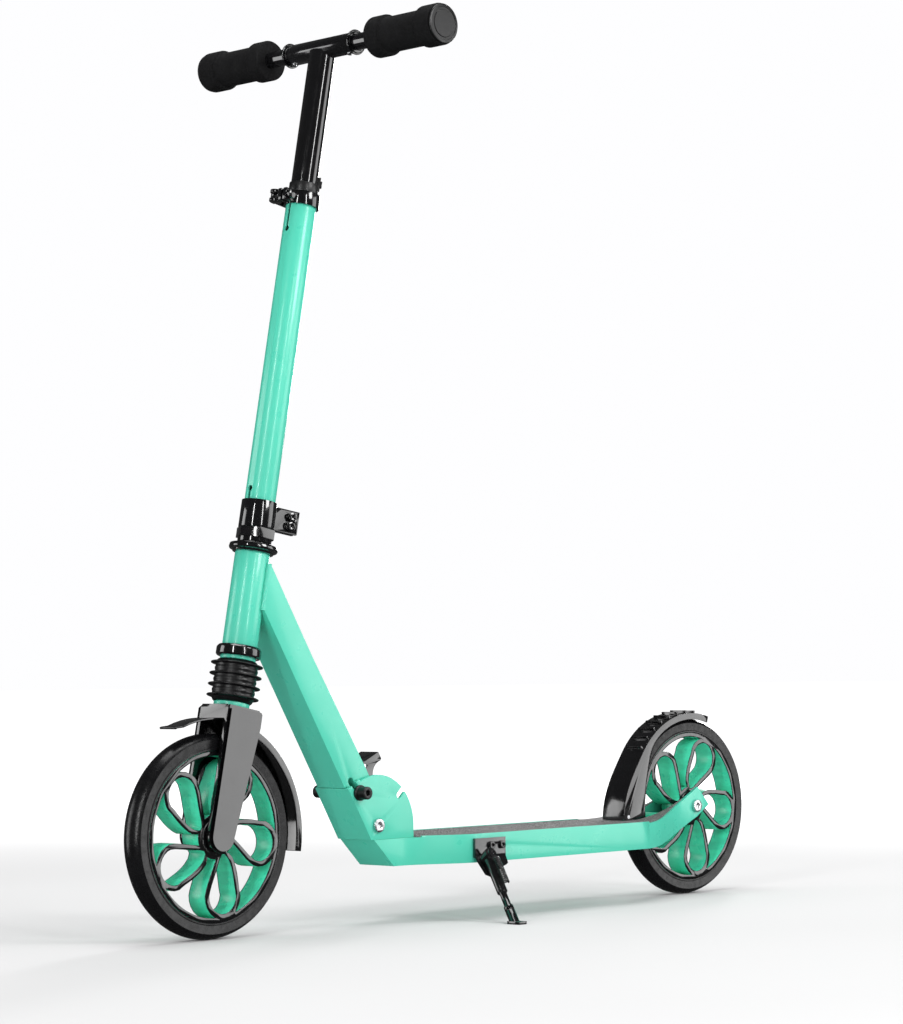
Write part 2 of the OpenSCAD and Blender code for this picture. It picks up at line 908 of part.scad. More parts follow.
// flat sole that lies on the ground
module kickstand_foot() {
    reach = kick_z / cos(kick_tilt);
    sole = [kick_x + reach * tan(kick_lead), kick_y + reach * sin(kick_tilt), 0];
    color(gloss_black) difference() {
        union() {
            translate(sole + [-6, -6, 0]) cube([12, 16, 3]);
            intersection() {
                at_leg() translate([0, 0, -kick_len]) cylinder(d = 10, h = 16);
                translate(sole + [-40, -60, 0.5]) cube([80, 100, 60]);
            }
        }
        at_leg() translate([0, 0, -kick_len + 7]) cylinder(d = 7.5, h = 40);
    }
}

module kickstand_spring() {
    color(steel) at_leg() translate([0, leg_d / 2 + 4.6, 0]) {
        for (i = [0:10]) translate([0, 0, -10 - 3 * i]) rotate_extrude() translate([2.9, 0]) circle(d = 2, $fn = 20);
    }
}

// ---- handlebar ----

module at_bar() {
    steer() translate([0, 0, bar_height]) children();
}

module stem() {
    color(gloss_black) difference() {
        union() {
            steer() tube_z(stem_d, stem_d - 3.4, stem_low, bar_height - 4);
            at_bar() rod_y(sleeve_d, -sleeve_half, sleeve_half);
        }
        at_bar() rod_y(handle_d, -sleeve_half - 5, sleeve_half + 5);
        // holes for the snap buttons
        at_bar() for (s = [-1, 1]) translate([0, s * snap_y, -20]) cylinder(d = 5.2, h = 20);
    }
}

module sleeve_rings() {
    color(gloss_black) at_bar() both_sides() difference() {
        tube_y(26, sleeve_d, sleeve_half - 2.6, sleeve_half - 1);
        translate([-20, sleeve_half - 5, -2.5]) cube([16, 8, 5]);
    }
}

module handle_tubes() {
    color(gloss_black) at_bar() both_sides() difference() {
        tube_y(handle_d, handle_d - 3.2, 6, bar_w / 2 - 4);
        translate([0, snap_y, -20]) cylinder(d = 5.2, h = 20);
    }
}

module snap_button(side) {
    color(steel) at_bar() translate([0, side * snap_y, 0]) difference() {
        translate([0, 0, -12.2]) cylinder(d = 5, h = 6);
        translate([0, 0, -13]) cylinder(d = 1.6, h = 1.6);
    }
}

module grip(side) {
    outer = bar_w / 2 - 3;
    inner = bar_w / 2 - grip_l;
    color(matt_black) at_bar() mirror([0, side < 0 ? 1 : 0, 0]) difference() {
        translate([0, inner, 0]) rotate([-90, 0, 0]) rotate_extrude() polygon([
            [handle_d / 2, 0], [19.5, 0], [21, 1.5], [21, 16], [19.5, 18.5], [18, 20],
            [18, grip_l - 26], [19.5, grip_l - 24], [21, grip_l - 21], [21, grip_l - 5],
            [20, grip_l - 3], [handle_d / 2, grip_l - 3]
        ]);
        rod_y(handle_d, 0, outer + 5);
    }
}

module grip_caps() {
    color(matt_black) at_bar() both_sides() {
        rod_y(40, bar_w / 2 - 3, bar_w / 2);
        rod_y(handle_d - 3.2, bar_w / 2 - 16, bar_w / 2 - 2);
    }
}

deck();
grip_tape();
neck_bracket();
fold_bolt();
fold_nut();
kickstand_bracket();
kickstand_screws();
kickstand_pivot();
axle_bolt(rear_x);  // rear_axle
axle_spacers(rear_x);  // rear_spacers
fender_pin();
fender_spring();
rear_fender();
tyre(rear_x);  // rear_tyre
rim(rear_x, rear_phase);  // rear_rim
rim_faces(rear_x, rear_phase);  // rear_rim_faces
wheel_bearings(rear_x);  // rear_bearings
hub_sleeve(rear_x);  // rear_hub_sleeve
tyre(front_x);  // front_tyre
rim(front_x, front_phase);  // front_rim
rim_faces(front_x, front_phase);  // front_rim_faces
wheel_bearings(front_x);  // front_bearings
hub_sleeve(front_x);  // front_hub_sleeve
axle_bolt(front_x);  // front_axle
axle_spacers(front_x);  // front_spacers
fork();
fork_slider();
front_fender();
suspension_spring();
fork_boot();
steerer_tube();
headset_cups();
headset_bearings();
headset_nuts();
head_tube();
down_tube();
fold_bush();
lever_pin();
release_lever();
lock_pin();
lock_knobs();
column_tube();
lower_clamp();
clamp_bolts();
top_clamp();
clamp_skewer();
clamp_lever();
column_collar();
height_button();
stem();
sleeve_rings();
handle_tubes();
snap_button(1);  // snap_button_left
snap_button(-1);  // snap_button_right
grip(1);  // grip_left
grip(-1);  // grip_right
grip_caps();
kickstand_leg();
kickstand_foot();
kickstand_spring();
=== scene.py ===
"""The looks of a folding kick scooter: rounded metalwork, wheels, grips, boot and springs, in a studio."""
import json
import math

import bmesh
import bpy
from bpy.props import FloatProperty, FloatVectorProperty, IntProperty, PointerProperty
from mathutils import Matrix, Vector


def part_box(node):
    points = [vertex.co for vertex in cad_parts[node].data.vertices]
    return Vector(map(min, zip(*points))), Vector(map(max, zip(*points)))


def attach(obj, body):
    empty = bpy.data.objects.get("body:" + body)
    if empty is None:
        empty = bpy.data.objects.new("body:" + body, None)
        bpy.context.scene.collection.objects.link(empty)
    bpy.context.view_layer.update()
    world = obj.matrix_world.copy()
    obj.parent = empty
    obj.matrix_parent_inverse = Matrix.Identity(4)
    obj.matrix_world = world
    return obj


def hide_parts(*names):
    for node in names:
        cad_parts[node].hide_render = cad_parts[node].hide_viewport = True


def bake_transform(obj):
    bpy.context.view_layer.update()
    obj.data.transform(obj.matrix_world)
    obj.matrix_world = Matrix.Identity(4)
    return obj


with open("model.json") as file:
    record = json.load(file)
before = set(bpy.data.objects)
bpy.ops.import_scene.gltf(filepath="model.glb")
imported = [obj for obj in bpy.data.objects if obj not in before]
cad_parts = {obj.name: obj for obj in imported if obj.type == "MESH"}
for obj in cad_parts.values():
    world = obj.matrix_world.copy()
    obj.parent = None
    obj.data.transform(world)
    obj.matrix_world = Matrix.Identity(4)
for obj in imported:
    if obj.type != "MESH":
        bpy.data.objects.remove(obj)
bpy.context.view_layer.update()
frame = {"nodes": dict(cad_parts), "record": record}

bl_info = {
    "name": "Kick scooter",
    "version": (1, 0, 0),
    "blender": (4, 5, 0),
    "location": "View3D > Sidebar > Scooter",
    "description": "Finishes the pieces of a folding kick scooter and sets up its studio",
    "category": "Object",
}

RECORD = frame["record"]
JOINTS = {joint["name"]: joint for joint in RECORD["behaviour"]["joints"]}
BODY_OF = {node: body for body, nodes in RECORD["behaviour"]["bodies"].items() for node in nodes}
SLOT_OF = {part["node"]: part["material_slot"] for part in RECORD["subparts"]}

# the height of the steering joint's own point along its axis
STEER_DATUM = 0.300

# faces that meet at less than this many degrees are shaded as one, and edges above the other are rounded
SMOOTH_BELOW = 38
ROUND_ABOVE = 30

# the deck's arms beside the rear wheel
ARM_START = -0.240
ARM_RADIUS = 0.240
ARM_END = -0.338
TAPER_START = -0.225
TAPER_END = -0.345
SLOT_FRONT = -0.2565
SLOT_HALF = 0.0178
PLATE_OUT = 0.021

# the down tube, and the weld beads beside its end
TUBE_REAR = -0.016
TUBE_FRONT = 0.0155
WELD_BACK = -0.0083
WELD_SIDE = 0.0172
WELD_RADIUS = 0.0029


# ---- where things are ----

def turned_frame(origin, z_axis, y_axis=(0, 1, 0)):
    """A matrix whose local Z lies along z_axis, with local Y as near y_axis as it can be."""
    z = Vector(z_axis).normalized()
    x = Vector(y_axis).cross(z).normalized()
    y = z.cross(x)
    rows = Matrix((x, y, z)).transposed().to_4x4()
    return Matrix.Translation(Vector(origin)) @ rows


def steering_place(height=0.0):
    """The steering axis's own frame, from a height along it above the axle's level."""
    steer = JOINTS["steer"]
    origin = Vector(steer["pos_m"]) + Vector(steer["axis"]).normalized() * (height - STEER_DATUM)
    return turned_frame(origin, steer["axis"])


def across(origin, x_axis=(1, 0, 0)):
    """A frame whose local Z runs along the row's Y axis."""
    return turned_frame(origin, (0, 1, 0), x_axis)


def middle(node):
    low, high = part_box(node)
    return (low + high) / 2


def outward(sign, point, reach):
    """A frame at a distance from the middle plane that looks away from it, on the side that sign gives."""
    return Matrix.Scale(sign, 4, (0, 1, 0)) @ across((point.x, reach, point.z))


# ---- making meshes ----

def smooth_by_angle(mesh, degrees):
    mesh.shade_smooth()
    mesh.set_sharp_from_angle(angle=math.radians(degrees))


def new_piece(name, bm, finish, degrees=SMOOTH_BELOW):
    """Turns a bmesh into a piece with one finish."""
    mesh = bpy.data.meshes.new(name)
    bm.to_mesh(mesh)
    bm.free()
    piece = bpy.data.objects.new(name, mesh)
    bpy.context.scene.collection.objects.link(piece)
    smooth_by_angle(mesh, degrees)
    mesh.materials.append(finish)
    return piece


def bake(piece):
    """Applies a piece's modifiers to its mesh and removes them."""
    bpy.context.view_layer.update()
    evaluated = piece.evaluated_get(bpy.context.evaluated_depsgraph_get())
    mesh = bpy.data.meshes.new_from_object(evaluated)
    mesh.name = piece.name
    piece.modifiers.clear()
    piece.data = mesh
    smooth_by_angle(mesh, SMOOTH_BELOW)
    return piece


def stands_for(piece, *nodes):
    """Rides a piece where its nodes ride and hides them."""
    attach(piece, BODY_OF[nodes[0]])
    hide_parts(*nodes)
    return piece


def turned(name, profile, place, finish, steps, degrees=SMOOTH_BELOW):
    """Spins a closed outline of (radius, height) pairs about the local Z of place."""
    bm = bmesh.new()
    rings = []
    for i in range(steps):
        angle = 2 * math.pi * i / steps
        spoke = Vector((math.cos(angle), math.sin(angle), 0))
        rings.append([bm.verts.new(place @ (spoke * r + Vector((0, 0, h)))) for r, h in profile])
    count = len(profile)
    for i in range(steps):
        here, there = rings[i], rings[(i + 1) % steps]
        for j in range(count):
            k = (j + 1) % count
            bm.faces.new((here[j], there[j], there[k], here[k]))
    bmesh.ops.remove_doubles(bm, verts=bm.verts, dist=1e-7)
    bmesh.ops.dissolve_degenerate(bm, edges=bm.edges, dist=1e-8)
    bmesh.ops.recalc_face_normals(bm, faces=bm.faces)
    return new_piece(name, bm, finish, degrees)


def arc_points(centre, radius, start, end, count):
    """Points round an arc, with angles in degrees."""
    angles = [math.radians(start + (end - start) * i / (count - 1)) for i in range(count)]
    return [(centre[0] + radius * math.cos(a), centre[1] + radius * math.sin(a)) for a in angles]


def sweep(bm, rings):
    """Joins rings of corners into a closed bar with flat ends."""
    for here, there in zip(rings, rings[1:]):
        for j in range(len(here)):
            k = (j + 1) % len(here)
            bm.faces.new((here[j], here[k], there[k], there[j]))
    bm.faces.new(rings[0])
    bm.faces.new(rings[-1])


def rounded(node, width, finish, segments=3):
    """Copies a CAD node and rounds its edges."""
    bm = bmesh.new()
    bm.from_mesh(frame["nodes"][node].data)
    bmesh.ops.remove_doubles(bm, verts=bm.verts, dist=2e-6)
    bmesh.ops.dissolve_degenerate(bm, edges=bm.edges, dist=1e-7)
    bmesh.ops.dissolve_limit(bm, angle_limit=math.radians(0.6), verts=bm.verts, edges=bm.edges)
    piece = new_piece("rounded_" + node, bm, finish)
    bevel = piece.modifiers.new("edges", "BEVEL")
    bevel.width = width
    bevel.segments = segments
    bevel.limit_method = "ANGLE"
    bevel.angle_limit = math.radians(ROUND_ABOVE)
    bevel.miter_outer = "MITER_ARC"
    bake(piece)
    return stands_for(piece, node)


# ---- shader maths ----

class Value:
    """A shader socket that can be used in arithmetic."""

    def __init__(self, graph, socket):
        self.graph = graph
        self.socket = socket

    def math(self, operation, first, second):
        return self.graph.add("ShaderNodeMath", {"operation": operation}, {0: first, 1: second})

    def __add__(self, other):
        return self.math("ADD", self, other)

    def __radd__(self, other):
        return self.math("ADD", other, self)

    def __mul__(self, other):
        return self.math("MULTIPLY", self, other)

    def __rmul__(self, other):
        return self.math("MULTIPLY", other, self)


VARYING = {"colour": "Base Color", "roughness": "Roughness", "normal": "Normal", "glow": "Emission Color"}


class Graph:
    """One material's node tree, built from expressions."""

    def __init__(self, name):
        self.material = bpy.data.materials.new(name)
        self.material.use_nodes = True
        self.tree = self.material.node_tree
        self.tree.nodes.clear()

    def add(self, kind, settings=None, inputs=None, output=0):
        """Adds a node, sets its settings, then its sockets, and gives one of its outputs."""
        node = self.tree.nodes.new(kind)
        for key, setting in (settings or {}).items():
            if key == "stops":
                self.set_stops(node.color_ramp, setting)
            else:
                setattr(node, key, setting)
        for key, item in (inputs or {}).items():
            socket = node.inputs[key]
            if isinstance(item, Value):
                self.tree.links.new(item.socket, socket)
            else:
                socket.default_value = item
        return Value(self, node.outputs[output]) if node.outputs else None

    @staticmethod
    def set_stops(ramp, stops):
        while len(ramp.elements) < len(stops):
            ramp.elements.new(0.5)
        for element, (place, colour) in zip(ramp.elements, stops):
            element.position = place
            element.color = (*colour, 1)

    def place(self, scale=(1, 1, 1)):
        """Object coordinates, stretched by a scale."""
        where = self.add("ShaderNodeTexCoord", output="Object")
        return self.add("ShaderNodeMapping", inputs={"Vector": where, "Scale": scale})

    def noise(self, scale, detail, stretch=(1, 1, 1)):
        settings = {"Vector": self.place(stretch), "Scale": scale, "Detail": detail}
        return self.add("ShaderNodeTexNoise", inputs=settings)

    def cells(self, scale):
        return self.add("ShaderNodeTexVoronoi", inputs={"Vector": self.place(), "Scale": scale})

    def blend(self, factor, first, second):
        inputs = {0: factor, 6: first, 7: second}
        return self.add("ShaderNodeMix", {"data_type": "RGBA"}, inputs, 2)

    def clamp(self, value, low, high):
        """Stretches 0.35 to 0.65, where a noise mostly lies, over low to high."""
        inputs = {"Value": value, "From Min": 0.35, "From Max": 0.65, "To Min": low, "To Max": high}
        return self.add("ShaderNodeMapRange", inputs=inputs)

    def bump(self, height, distance):
        return self.add("ShaderNodeBump", inputs={"Height": height, "Distance": distance})

    def finish(self, constants, **varying):
        """Ends the tree in a Principled shader."""
        inputs = dict(constants)
        inputs.update({VARYING[key]: item for key, item in varying.items()})
        shader = self.add("ShaderNodeBsdfPrincipled", inputs=inputs)
        self.add("ShaderNodeOutputMaterial", inputs={"Surface": shader})
        return self.material


def rgba(colour):
    return (*colour, 1.0)


def tinted(colour, factor):
    return (*[min(1.0, part * factor) for part in colour], 1.0)


# ---- finishes ----

def powder_coat(name, colour, shine=0.3, peel=0.00001, coat=0.25):
    """Sprayed and baked paint: faint orange peel, and a slow drift in tone."""
    graph = Graph(name)
    drift = graph.clamp(graph.noise(14, 2), 0, 1)
    grain = graph.noise(500, 2)
    colour_now = graph.blend(drift, tinted(colour, 0.985), tinted(colour, 1.015))
    rough = graph.clamp(graph.noise(60, 4), shine - 0.03, shine + 0.06)
    normal = graph.bump(grain, peel)
    constants = {"Coat Weight": coat, "Coat Roughness": shine * 0.4, "IOR": 1.5}
    return graph.finish(constants, colour=colour_now, roughness=rough, normal=normal)


def moulded(name, colour, shine=0.25, texture=0.00002, size=1400, coat=0.1):
    """Injection-moulded plastic with a fine skin and light handling marks."""
    graph = Graph(name)
    marks = graph.clamp(graph.noise(35, 6, (1, 1, 4)), 0, 1)
    colour_now = graph.blend(marks, tinted(colour, 0.9), tinted(colour, 1.15))
    rough = graph.clamp(graph.noise(90, 5), shine - 0.05, shine + 0.1)
    normal = graph.bump(graph.noise(size, 2), texture)
    constants = {"Coat Weight": coat, "Coat Roughness": 0.08}
    return graph.finish(constants, colour=colour_now, roughness=rough, normal=normal)


def tyre_rubber(name, colour):
    """Cast polyurethane: dull sheen, fine speckle and patches of dust."""
    graph = Graph(name)
    dust = graph.clamp(graph.noise(24, 6), 0, 0.5)
    colour_now = graph.blend(dust, rgba(colour), tinted(colour, 1.8))
    rough = graph.clamp(graph.noise(160, 5), 0.2, 0.32)
    normal = graph.bump(graph.noise(700, 4), 0.00002)
    constants = {"Specular IOR Level": 0.35}
    return graph.finish(constants, colour=colour_now, roughness=rough, normal=normal)


def foam(name, colour):
    """Closed-cell foam with fine open pores; its colour is painted shade in their pits and a painted
    highlight on the ridges between them.
    """
    graph = Graph(name)
    pores = graph.cells(900)
    # the colour follows the pore pattern that also gives the bump: half as bright in the pits, painted
    # shade, and 1.6 times on the ridges, a painted highlight
    colour_now = graph.blend(graph.clamp(pores, 0, 1), tinted(colour, 0.5), tinted(colour, 1.6))
    rough = graph.clamp(graph.noise(50, 3), 0.72, 0.9)
    normal = graph.bump(pores + graph.noise(260, 3) * 0.7, 0.00022)
    constants = {"Specular IOR Level": 0.2}
    return graph.finish(constants, colour=colour_now, roughness=rough, normal=normal)


def grit(name, colour):
    """Grip tape: dark grit with pale grains, whose pale spots are partly a painted glint."""
    graph = Graph(name)
    grains = graph.cells(1100)
    speckle = graph.cells(700)
    # the ramp paints pale spots at the speckle's cell centres, partly pale grains and partly a painted
    # glint, with darker grit towards the cell edges
    stops = {"stops": [(0.0, (0.75, 0.75, 0.74)), (0.3, colour), (1.0, [part * 0.25 for part in colour])]}
    colour_now = graph.add("ShaderNodeValToRGB", stops, {"Fac": speckle})
    rough = graph.clamp(graph.noise(500, 3), 0.45, 0.85)
    normal = graph.bump(grains + graph.noise(1500, 2), 0.0004)
    constants = {"Specular IOR Level": 0.7}
    return graph.finish(constants, colour=colour_now, roughness=rough, normal=normal)


def plated(name, colour, shine=0.28, stretch=(1, 18, 1)):
    """Plated or ground steel with fine tool marks."""
    graph = Graph(name)
    lines = graph.noise(260, 4, stretch)
    spots = graph.clamp(graph.noise(110, 5), 0, 1)
    colour_now = graph.blend(spots, tinted(colour, 0.82), tinted(colour, 1.05))
    rough = graph.clamp(lines, shine - 0.08, shine + 0.12)
    normal = graph.bump(lines, 0.00002)
    return graph.finish({"Metallic": 1.0}, colour=colour_now, roughness=rough, normal=normal)


def make_finishes(look):
    """One finish for each of the record's material slots."""
    black = tuple(look.black)
    return {
        "mint_paint": powder_coat("mint powder coat", tuple(look.mint)),
        "black_paint": powder_coat("black powder coat", black, 0.12, 0.000004, 0.9),
        "mint_nylon": moulded("mint nylon", tuple(look.mint_rim), 0.3),
        "black_gloss": moulded("gloss black plastic", black, 0.12, 0.000004, 400, 0.9),
        "black_plastic": moulded("black plastic", black, 0.38),
        "tyre": tyre_rubber("tyre", tuple(look.tyre)),
        "rubber": moulded("boot rubber", black, 0.36, 0.00004, 600, 0.0),
        "foam": foam("grip foam", tuple(look.foam)),
        "grip_tape": grit("grip tape", tuple(look.tape)),
        "zinc": plated("zinc plate", (0.74, 0.75, 0.77)),
        "bearing_steel": plated("bearing steel", (0.62, 0.62, 0.64), 0.22),
        "spring_steel": plated("spring wire", (0.4, 0.41, 0.43), 0.3, (1, 1, 1)),
        "bush_nylon": moulded("bush nylon", (0.7, 0.66, 0.55), 0.4),
    }


FINISHES = {}


# ---- settings ----

class ScooterLook(bpy.types.PropertyGroup):
    """Colours of the scooter."""

    mint: FloatVectorProperty(name="Mint", description="Paint of the frame", subtype="COLOR",
                              size=3, min=0, max=1, default=(0.066, 0.50, 0.36))
    mint_rim: FloatVectorProperty(name="Rim mint", description="Nylon of the wheels", subtype="COLOR",
                                  size=3, min=0, max=1, default=(0.055, 0.56, 0.36))
    black: FloatVectorProperty(name="Black", description="Black paint and plastic", subtype="COLOR",
                               size=3, min=0, max=1, default=(0.0035, 0.0035, 0.004))
    tyre: FloatVectorProperty(name="Tyre", description="Polyurethane of the tyres", subtype="COLOR",
                              size=3, min=0, max=1, default=(0.004, 0.004, 0.0045))
    foam: FloatVectorProperty(name="Foam", description="Foam of the grips", subtype="COLOR",
                              size=3, min=0, max=1, default=(0.004, 0.004, 0.0045))
    tape: FloatVectorProperty(name="Tape", description="Grip tape", subtype="COLOR",
                              size=3, min=0, max=1, default=(0.16, 0.155, 0.155))


class ScooterSizes(bpy.types.PropertyGroup):
    """Sizes of the details that are added to the frame."""

    edge: FloatProperty(name="Edge", description="Rounding of the frame's edges", unit="LENGTH",
                        default=0.0012)
    fine_edge: FloatProperty(name="Fine edge", description="Rounding of small parts", unit="LENGTH",
                             default=0.0005)
    boot_flange: FloatProperty(name="Boot flange", description="Radius of the boot's flanges", unit="LENGTH",
                               default=0.026)
    boot_root: FloatProperty(name="Boot root", description="Radius between the flanges", unit="LENGTH",
                             default=0.0205)
    grains: IntProperty(name="Grains", description="Grains of grit that stand out of the tape", default=9000)
    grain: FloatProperty(name="Grain", description="Size of a grain", unit="LENGTH", default=0.0006)
    wire_turns: IntProperty(name="Turns", description="Turns in the kickstand's spring", default=13)


# ---- pieces ----

# roundings relative to one another, with the deck's at the named size
DECK_EDGE = 1.2
FRAME_EDGES = {
    "deck": DECK_EDGE, "neck_bracket": 0.8, "down_tube": 2.2, "release_lever": 1.2, "fork": 2.6,
    "rear_fender": 0.7, "front_fender": 0.6, "kickstand_bracket": 0.7,
}
SMALL_EDGES = [
    "lower_clamp", "top_clamp", "clamp_lever", "clamp_bolts", "clamp_skewer", "headset_nuts", "headset_cups",
    "column_collar", "height_button", "lock_knobs", "fold_bolt", "fold_nut", "kickstand_pivot",
    "kickstand_screws", "kickstand_leg", "kickstand_foot", "front_axle", "rear_axle", "front_rim",
    "rear_rim", "front_rim_faces", "rear_rim_faces", "sleeve_rings", "column_tube", "head_tube", "stem",
    "steerer_tube", "fork_slider",
]


class SCOOTER_OT_finishes(bpy.types.Operator):
    """Gives every piece of the frame its finish"""

    bl_idname = "scooter.finishes"
    bl_label = "Finishes"

    def execute(self, context):
        FINISHES.update(make_finishes(context.scene.scooter_look))
        for node, piece in frame["nodes"].items():
            piece.data.materials.clear()
            piece.data.materials.append(FINISHES[SLOT_OF[node]])
        return {"FINISHED"}


class SCOOTER_OT_metalwork(bpy.types.Operator):
    """Rounds the edges of the deck, fork, brackets and clamps"""

    bl_idname = "scooter.metalwork"
    bl_label = "Metalwork"

    def execute(self, context):
        sizes = context.scene.scooter_sizes
        for node, width in FRAME_EDGES.items():
            rounded(node, width * sizes.edge / DECK_EDGE, FINISHES[SLOT_OF[node]])
        for node in SMALL_EDGES:
            rounded(node, sizes.fine_edge, FINISHES[SLOT_OF[node]], segments=2)
        return {"FINISHED"}


def tyre_outline(half_width, bead_r, tread_r):
    """Half circle of tread between two shallow sidewall steps."""
    crown_r = half_width * 1.23
    centre = tread_r - crown_r
    lean = math.degrees(math.asin((half_width - 0.0006) / crown_r))
    crown = arc_points((centre, 0), crown_r, -lean, lean, 25)
    step = bead_r + 0.0022
    lip = -half_width + 0.0005
    low = [(bead_r, -half_width + 0.0016), (bead_r + 0.0008, lip), (step, lip),
           (step + 0.0007, -half_width + 0.0012)]
    high = [(r, -h) for r, h in reversed(low)]
    tread = [point for point in crown if point[0] > step + 0.001]
    return low + tread + high


class SCOOTER_OT_tyres(bpy.types.Operator):
    """Casts the two tyres"""

    bl_idname = "scooter.tyres"
    bl_label = "Tyres"

    def execute(self, context):
        for end in ("front", "rear"):
            low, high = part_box(end + "_tyre")
            rim_low, rim_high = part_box(end + "_rim_faces")
            bead = (rim_high.x - rim_low.x) / 2
            outline = tyre_outline((high.y - low.y) / 2, bead, (high.x - low.x) / 2)
            place = across(middle(end + "_tyre"))
            tyre = turned(end + "_tyre_cast", outline, place, FINISHES["tyre"], 180, 30)
            stands_for(tyre, end + "_tyre")
        return {"FINISHED"}


class SCOOTER_OT_boot(bpy.types.Operator):
    """Moulds the rubber boot"""

    bl_idname = "scooter.boot"
    bl_label = "Fork boot"

    low = 0.1331
    high = 0.1754
    flanges = 4
    flange_base = 0.0048
    cuffs = 0.0099
    lip = 0.0008
    valley = 0.0036
    bore = 0.0165
    mouth = 0.0152

    def execute(self, context):
        sizes = context.scene.scooter_sizes
        pitch = (self.high - self.low - self.cuffs) / (self.flanges - 1)
        outer = [(0.0185, 0.0002), (0.0196, 0.0012), (sizes.boot_root, 0.0030)]
        for i in range(self.flanges):
            base = self.flange_base + pitch * i
            tip = arc_points((sizes.boot_flange - self.lip, base + self.lip), self.lip, -80, 80, 5)
            outer += [(sizes.boot_root + self.lip, base - 0.0004)] + tip
            outer += [(sizes.boot_root + self.lip, base + 0.0022)]
            if i < self.flanges - 1:
                centre = (sizes.boot_root - 0.0026, base + pitch / 2 + 0.0009)
                outer += arc_points(centre, self.valley, -38, 38, 5)
        top = self.high - self.low
        outer += [(sizes.boot_root, top - 0.0020), (0.0190, top - 0.0004), (0.0176, top)]
        inner = [(self.mouth, top), (self.bore, top - 0.003), (self.bore, 0.003), (self.mouth, 0.0002)]
        place = steering_place(self.low)
        boot = turned("fork_boot_bellows", outer + inner, place, FINISHES["rubber"], 96, 50)
        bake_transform(boot)
        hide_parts("fork_boot")
        return {"FINISHED"}


class SCOOTER_OT_grips(bpy.types.Operator):
    """Foam grips with collars at both ends and a ringed end cap"""

    bl_idname = "scooter.grips"
    bl_label = "Grips"

    fillet = 0.0022
    groove = 0.003
    disc_back = 0.0001
    disc_face = 0.0018
    disc_ring = 0.0024

    def execute(self, context):
        tube_low, tube_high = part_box("handle_tubes")
        bore = (tube_high.z - tube_low.z) / 2 + 0.0001
        for side, sign in (("left", 1), ("right", -1)):
            low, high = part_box("grip_" + side)
            inner = min(abs(low.y), abs(high.y))
            length = abs(high.y - low.y)
            wide = (high.z - low.z) / 2
            hollow = wide - self.groove + self.fillet
            shoulder = wide - self.fillet
            outline = [(bore, 0), (wide - 0.004, 0)]
            for centre, start, end, count in (
                ((shoulder, self.fillet), -85, -5, 6), ((shoulder, 0.0165), 5, 80, 6),
                ((hollow, 0.0212), 260, 190, 5), ((hollow, length - 0.0245), 170, 100, 5),
                ((shoulder, length - 0.0200), -80, -5, 6), ((shoulder, length - 0.0026), 5, 85, 6),
            ):
                outline += arc_points(centre, self.fillet, start, end, count)
            outline += [(bore, length)]
            place = outward(sign, middle("grip_" + side), inner)
            grip = turned("grip_foam_" + side, outline, place, FINISHES["foam"], 96, 40)
            stands_for(grip, "grip_" + side)
        self.caps()
        return {"FINISHED"}

    def caps(self):
        """Flat discs with a raised ring, one on each end."""
        low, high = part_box("grip_caps")
        wide = (high.z - low.z) / 2
        disc = [(0, self.disc_back), (wide - 0.001, self.disc_back)]
        disc += arc_points((wide - 0.0012, 0.0012), 0.0011, -70, 80, 6)
        disc += [(wide - 0.0032, self.disc_ring), (wide - 0.0036, self.disc_face),
                 (wide - 0.0060, self.disc_face), (wide - 0.0066, self.disc_ring), (0, self.disc_ring)]
        both = bmesh.new()
        for sign in (1, -1):
            place = outward(sign, middle("grip_caps"), high.y - 0.003)
            cap = turned("cap", disc, place, FINISHES["foam"], 96)
            both.from_mesh(cap.data)
            bpy.data.objects.remove(cap)
        caps = new_piece("grip_end_caps", both, FINISHES["black_plastic"])
        stands_for(caps, "grip_caps")


# ---- pieces that repeat along a curve or over a surface ----

class Tree:
    """A geometry node tree with named inputs."""

    def __init__(self, name, inputs):
        self.tree = bpy.data.node_groups.new(name, "GeometryNodeTree")
        face = self.tree.interface
        face.new_socket("Geometry", in_out="INPUT", socket_type="NodeSocketGeometry")
        for label, kind in inputs:
            face.new_socket(label, in_out="INPUT", socket_type=kind)
        face.new_socket("Geometry", in_out="OUTPUT", socket_type="NodeSocketGeometry")
        self.given = self.tree.nodes.new("NodeGroupInput")

    def add(self, kind, inputs=None, **settings):
        node = self.tree.nodes.new(kind)
        for key, setting in settings.items():
            setattr(node, key, setting)
        for key, item in (inputs or {}).items():
            if isinstance(item, bpy.types.NodeSocket):
                self.tree.links.new(item, node.inputs[key])
            else:
                node.inputs[key].default_value = item
        return node

    def end(self, geometry, finish):
        """Makes instances real, gives them a finish and sends them out."""
        real = self.add("GeometryNodeRealizeInstances", {0: geometry})
        coated = self.add("GeometryNodeSetMaterial", {"Geometry": real.outputs[0], "Material": finish})
        out = self.tree.nodes.new("NodeGroupOutput")
        self.tree.links.new(coated.outputs[0], out.inputs[0])
        return self.tree

    def run(self, piece, values):
        """Runs the tree on a piece with its named values, and keeps the result as a plain mesh."""
        modifier = piece.modifiers.new(self.tree.name, "NODES")
        modifier.node_group = self.tree
        for item in self.tree.interface.items_tree:
            if item.in_out == "INPUT" and item.name in values:
                modifier[item.identifier] = values[item.name]
        return bake(piece)


